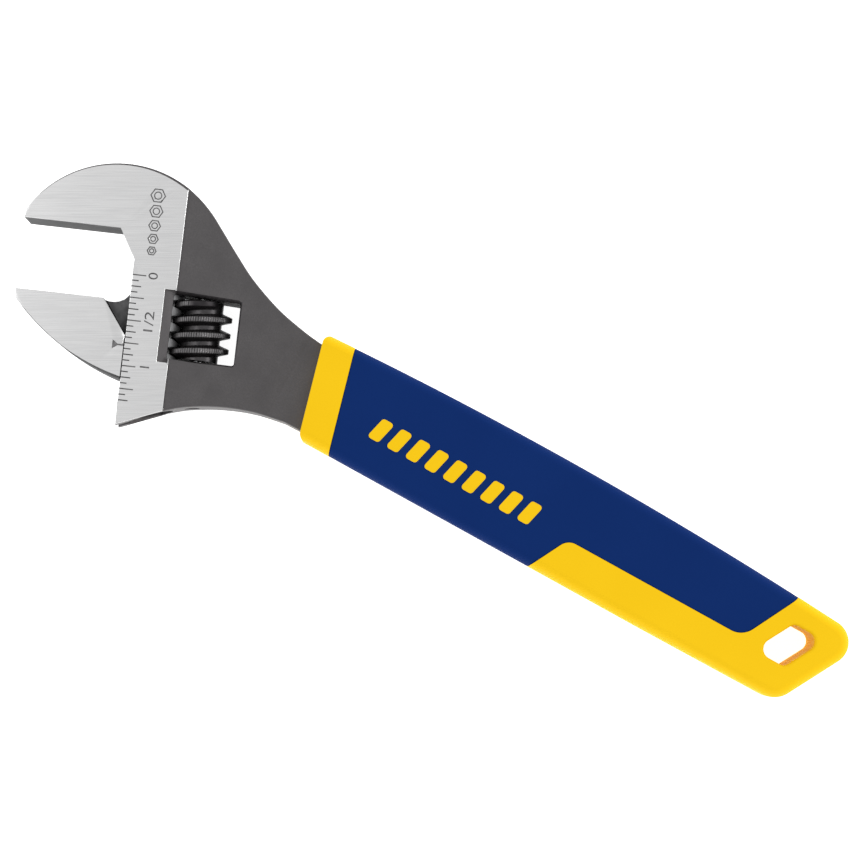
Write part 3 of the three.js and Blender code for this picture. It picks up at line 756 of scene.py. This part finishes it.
def engrave(piece, tools):
    """Cuts the tools out of a piece and leaves the cuts dark."""
    bm = bmesh.new()
    for tool in tools:
        bm.from_mesh(tool.data)
        bpy.data.objects.remove(tool)
    bmesh.ops.remove_doubles(bm, verts=bm.verts, dist=1e-3 * MM)
    bmesh.ops.recalc_face_normals(bm, faces=bm.faces)
    for face in bm.faces:
        face.material_index = 0
    cutter = new_object("cutter", bm)
    cutter.data.materials.clear()
    cutter.data.materials.append(MATERIALS["engraving"])
    combine(piece, cutter)


def make_body():
    body = copy_of_node("forged_body", "body")
    weigh_edges(body, head_edge_weight)
    add_bevel(body, CROWN_BEVEL, 3)
    triangulate(body)
    paint_faces(body, ("ground", "oxide", "shaded_machined", "lip", "shadow"), body_finish)
    ticks = [mark_prism("tick", outline) for outline in scale_marks()]
    nuts = [ring_prism("nut", outer, inner) for outer, inner in nut_marks()]
    engrave(body, ticks + nuts)
    engrave(body, [lettering(*numeral) for numeral in NUMERALS])
    smooth(body, flat_tops=True)
    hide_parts("body")
    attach(body, "frame")


# ---------------------------------------------------------------- movable jaw
def jaw_finish(centre, normal):
    """The finish of a face of the movable jaw."""
    u, v, z = in_jaw(centre)
    underside = normal.dot(V_AXIS) < -UNDERSIDE and u < STRIP_EDGE_U and v < 0
    rim = abs(z) > HEAD_TOP - JAW_RIM_DEPTH and abs(normal.z) > UPRIGHT
    if is_ground_top(z, normal) or (rim and not underside):
        return "ground"
    # painted shade: the jaw's underside gets the dark milled finish
    if underside:
        return "shaded_machined"
    if u > RACK_LEFT_U:
        return "rack"
    if abs(z) < WEB_TOP and u > WEB_CORNER["u"] and v > WEB_CORNER["v"]:
        return "web"
    return "shaded_machined"


def engrave_pointer(jaw):
    """A triangle that points at the scale, and then its line to the strip's edge."""
    v = POINTER["v"]
    base = STRIP_EDGE_U - POINTER["base"]
    tip = (STRIP_EDGE_U - POINTER["tip"], v)
    triangle = [(base, v - POINTER["half"]), tip, (base, v + POINTER["half"])]
    start = STRIP_EDGE_U - POINTER_LINE["length"]
    half = POINTER_LINE["half"]
    line = rectangle(start, v - half, STRIP_EDGE_U + MARK_OVERRUN, v + half)
    for outline in (triangle, line):
        engrave(jaw, [mark_prism("pointer", outline)])


def jaw_edge_weight(edge):
    """Fine rounding, which widens along the underside towards the strip and leaves out the side there."""
    places = [in_jaw(vert.co) for vert in edge.verts]
    if all(STRIP_EDGE_U - SIDE_BAND < u < STRIP_EDGE_U for u, _, _ in places):
        return 0.0
    normals = [face.normal for face in edge.link_faces]
    under = any(abs(n.z) < UPRIGHT and n.dot(V_AXIS) < -UNDERSIDE_WALL for n in normals)
    outside = all(abs(z) > HEAD_TOP - NEAR and u < STRIP_EDGE_U for u, _, z in places)
    if not (under and outside):
        return FINE_BEVEL / UNDERSIDE_BEVEL
    middle = sum(u for u, _, _ in places) / 2
    share = clamped((middle - UNDERSIDE_START_U) / (STRIP_EDGE_U - UNDERSIDE_START_U))
    return (FINE_BEVEL + (UNDERSIDE_BEVEL - FINE_BEVEL) * share) / UNDERSIDE_BEVEL


def close_up(jaw):
    """Brings the jaw's bright faces nearer to the strip, where the CAD model keeps a wider gap."""
    for vert in jaw.data.vertices:
        u, _, z = in_jaw(vert.co)
        if STRIP_EDGE_U - SIDE_BAND < u < STRIP_EDGE_U and abs(z) > SIDE_FOOT_Z:
            vert.co += U_AXIS * CLOSER * MM


def make_jaw():
    jaw = copy_of_node("sliding_jaw", "movable_jaw")
    close_up(jaw)
    weigh_edges(jaw, jaw_edge_weight)
    add_bevel(jaw, UNDERSIDE_BEVEL, 2)
    triangulate(jaw)
    paint_faces(jaw, ("ground", "shaded_machined", "web", "rack"), jaw_finish)
    engrave_pointer(jaw)
    smooth(jaw, flat_tops=True)
    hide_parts("movable_jaw")
    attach(jaw, "movable_jaw")


# ---------------------------------------------------------------- worm
def fullness(crest_v):
    """How much of the thread's height is left where its crest passes a height."""
    low, high = THREAD_FULL
    return max(0.0, 1 - max(low - crest_v, crest_v - high, 0.0) / THREAD_RUN_OUT)


def thread_radius(v, turn):
    """Radius of the thread at a height and a share of a turn, with rounded crest and root."""
    from_crest = (v - FRONT_CREST_V - PITCH * turn + PITCH / 2) % PITCH - PITCH / 2
    flank_start = THREAD["crest_half"]
    flank_end = PITCH / 2 - THREAD["root_half"]
    share = clamped((abs(from_crest) - flank_start) / (flank_end - flank_start))
    eased = share * share * (3 - 2 * share)
    fallen = THREAD["straight"] * share + (1 - THREAD["straight"]) * eased
    height = (THREAD["crest"] - THREAD["root"]) * fullness(v - from_crest)
    return THREAD["root"] + height * (1 - fallen)


def worm_point(v, column, columns):
    """Radius and brightening of the worm's surface: the crests are lighter, the roots carry a painted
    highlight, and the knurl's notches stay darker.
    """
    radius = thread_radius(v, column / columns)
    crest_share = max(0.0, (radius - THREAD["crest"] + CREST_LIGHTENING_REACH) / CREST_LIGHTENING_REACH)
    root_share = max(0.0, (THREAD["root"] + ROOT_HIGHLIGHT_REACH - radius) / ROOT_HIGHLIGHT_REACH)
    notch = column % KNURL_STEPS == 0
    if notch:
        radius -= KNURL_DEPTH * crest_share
    # painted highlight on the roots; the crests are lighter and their notches darker
    brightening = max(ROOT_HIGHLIGHT * root_share, crest_share * (NOTCH_BRIGHTENING if notch else 1.0))
    return radius, brightening


def ring_about_axis(radii, v):
    """Points round the worm's axis at one height, evenly turned, one for each radius."""
    ring = []
    for k, radius in enumerate(radii):
        turn = 2 * math.pi * k / len(radii)
        ring.append((radius * math.sin(turn), v, radius * math.cos(turn)))
    return ring


def make_worm():
    columns = KNURL_STEPS * KNURL_COUNT
    rings = []
    brightening = []
    for row in range(WORM_ROWS + 1):
        v = WORM_LOW + (WORM_HIGH - WORM_LOW) * row / WORM_ROWS
        points = [worm_point(v, column, columns) for column in range(columns)]
        rings.append(ring_about_axis([radius for radius, _ in points], v))
        brightening += [lightness for _, lightness in points]
    for v in (WORM_HIGH, WORM_LOW):
        rings.append(ring_about_axis([PIN_HOLE_RADIUS] * columns, v))
        brightening += [0.0] * columns
    worm = stack("threaded_worm", rings, from_jaw, closed=True)
    worm.data.attributes.new("brightening", "FLOAT", "POINT").data.foreach_set("value", brightening)
    worm.data.materials.append(MATERIALS["worm"])
    smooth(worm, math.radians(50))
    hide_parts("worm")
    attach(worm, "worm")


# ---------------------------------------------------------------- pieces that keep their CAD shape
def dress_node(node, material, sharp_angle):
    """Gives a CAD node its material and smooth shading between its sharp edges."""
    node.data.materials.clear()
    node.data.materials.append(MATERIALS[material])
    for polygon in node.data.polygons:
        polygon.use_smooth = True
    node.data.set_sharp_from_angle(angle=sharp_angle)


def dress_pin_and_spring():
    for name in ("worm_pin", "worm_spring"):
        dress_node(frame["nodes"][name], "bright", math.radians(35))


def dress_bars():
    """The raised bars get rounded edges and the yellow moulding."""
    bars = [node for name, node in frame["nodes"].items() if name.startswith("grip_bar_")]
    for node in bars:
        dress_node(node, "yellow", math.radians(40))
        modifier = node.modifiers.new("round", "BEVEL")
        modifier.width = BAR_BEVEL * MM
        modifier.segments = 2
        modifier.limit_method = "ANGLE"
        modifier.angle_limit = math.radians(50)


# ---------------------------------------------------------------- grip
def shown_half(node):
    """Half the thickness of a CAD node, from its box."""
    low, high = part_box(node)
    return (high.z - low.z) / 2 / MM


def grip_slab(name, plan_inset, half):
    """The whole grip as one slab whose long edges are quarter ellipses."""
    steps = GRIP_EDGE["steps"]
    across = GRIP_EDGE["across"]
    deep = GRIP_EDGE["deep"]
    turns = [math.pi / 2 * k / steps for k in range(steps + 1)]
    profile = [(across * (1 - math.sin(t)), -half + deep * (1 - math.cos(t))) for t in turns]
    profile += [(inset, -z) for inset, z in reversed(profile)]
    rings = []
    for inset, z in profile:
        outline = rounded(grown(GRIP_OUTLINE, -plan_inset - inset))
        rings.append([(p.x, p.y, z) for p in outline])
    return stack(name, rings, from_handle)


def region_tool(corners):
    return prism("region", rounded(corners), -FAR, FAR)


def collar_corner(x, y, radius=0):
    """A corner on a line that leans like the collar and crosses the handle's middle at x."""
    return (x - y * math.tan(COLLAR_TILT), y, radius)


def finish_moulding(piece, material, node):
    piece.data.materials.clear()
    piece.data.materials.append(MATERIALS[material])
    smooth(piece)
    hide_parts(node)
    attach(piece, "frame")


def make_collar():
    collar = grip_slab("front_collar", 0, shown_half("grip_front_collar"))
    region = [
        collar_corner(COLLAR_FRONT_X, COLLAR_FOOT_Y, COLLAR_CORNER),
        collar_corner(COLLAR_BACK_X, COLLAR_FOOT_Y),
        collar_corner(COLLAR_BACK_X, COLLAR_TOP_Y + COLLAR_BACK_RISE),
        collar_corner(COLLAR_FRONT_X, COLLAR_TOP_Y, COLLAR_CORNER),
    ]
    combine(collar, region_tool(region), "INTERSECT")
    finish_moulding(collar, "yellow", "grip_front_collar")


def make_sleeve():
    sleeve = grip_slab("grip_cover", BLUE_INSET, shown_half("grip_sleeve"))
    start_x = COLLAR_BACK_X + SEAM / math.cos(COLLAR_TILT)
    region = [
        collar_corner(start_x, -FAR),
        (PAST_TAIL_X, -FAR, 0),
        (PAST_TAIL_X, FAR, 0),
        collar_corner(start_x, FAR),
    ]
    combine(sleeve, region_tool(region), "INTERSECT")
    combine(sleeve, region_tool(grown(REAR_REGION, SEAM)))
    finish_moulding(sleeve, "blue", "grip_sleeve")


def hole_edge_weight(edge):
    """Only the two rims of the hanging hole are rounded."""
    reach = HANG_HOLE["half_height"] + HANG_HOLE["half_width"]
    places = [in_handle(vert.co) for vert in edge.verts]
    return float(all(math.hypot(p.x - HANG_HOLE["x"], p.y - HANG_HOLE["y"]) < reach for p in places))


def make_rear_wrap():
    wrap = grip_slab("rear_wrap", 0, shown_half("grip_rear_wrap"))
    combine(wrap, region_tool(REAR_REGION), "INTERSECT")
    combine(wrap, region_tool(leaning(**HANG_HOLE, corners=HANG_HOLE_CORNERS)))
    weigh_edges(wrap, hole_edge_weight)
    add_bevel(wrap, HANG_HOLE_RIM, 4)
    finish_moulding(wrap, "yellow", "grip_rear_wrap")


# ---------------------------------------------------------------- setting
def make_floor():
    low, high = CAD_BOX
    reach = FLOOR_REACH * (high - low).length
    centre = (low + high) / 2
    bm = bmesh.new()
    corners = [(-1, -1), (1, -1), (1, 1), (-1, 1)]
    bm.faces.new([bm.verts.new((centre.x + a * reach, centre.y + b * reach, low.z)) for a, b in corners])
    floor = new_object("floor", bm)
    floor.data.materials.append(floor_material())


def make_camera():
    data = bpy.data.cameras.new("camera")
    data.lens = CAMERA_LENS
    data.sensor_width = CAMERA_SENSOR
    data.clip_end = CAMERA_RANGE
    camera = bpy.data.objects.new("camera", data)
    bpy.context.scene.collection.objects.link(camera)
    place = from_handle(*CAMERA_AT)
    back = (place - from_handle(*CAMERA_AIM)).normalized()
    right = Vector(CAMERA_UP).cross(back).normalized()
    up = back.cross(right)
    turn = Matrix((right, up, back)).transposed()
    camera.matrix_world = Matrix.Translation(place) @ turn.to_4x4()
    bpy.context.scene.camera = camera


def add_light(name, away, size, strength):
    """A square soft light at a place relative to the camera's aim, which it faces."""
    data = bpy.data.lights.new(name, "AREA")
    data.shape = "SQUARE"
    data.size = size
    data.energy = strength
    light = bpy.data.objects.new(name, data)
    bpy.context.scene.collection.objects.link(light)
    light.location = from_handle(*CAMERA_AIM) + away
    light.rotation_euler = away.to_track_quat("Z", "Y").to_euler()


def light_scene():
    world = bpy.data.worlds.new("studio")
    world.use_nodes = True
    background = world.node_tree.nodes["Background"]
    background.inputs["Color"].default_value = (1, 1, 1, 1)
    background.inputs["Strength"].default_value = WORLD_STRENGTH
    bpy.context.scene.world = world
    for name, tilt, size, strength in SOFTBOXES:
        away = U_AXIS * math.sin(tilt) + Z_AXIS * math.cos(tilt) + V_AXIS * SOFTBOX_RISE
        add_light(name, away, size, strength)
    bpy.context.scene.view_settings.view_transform = "Standard"


make_body()
make_jaw()
make_worm()
dress_pin_and_spring()
make_collar()
make_sleeve()
make_rear_wrap()
dress_bars()
make_floor()
make_camera()
light_scene()
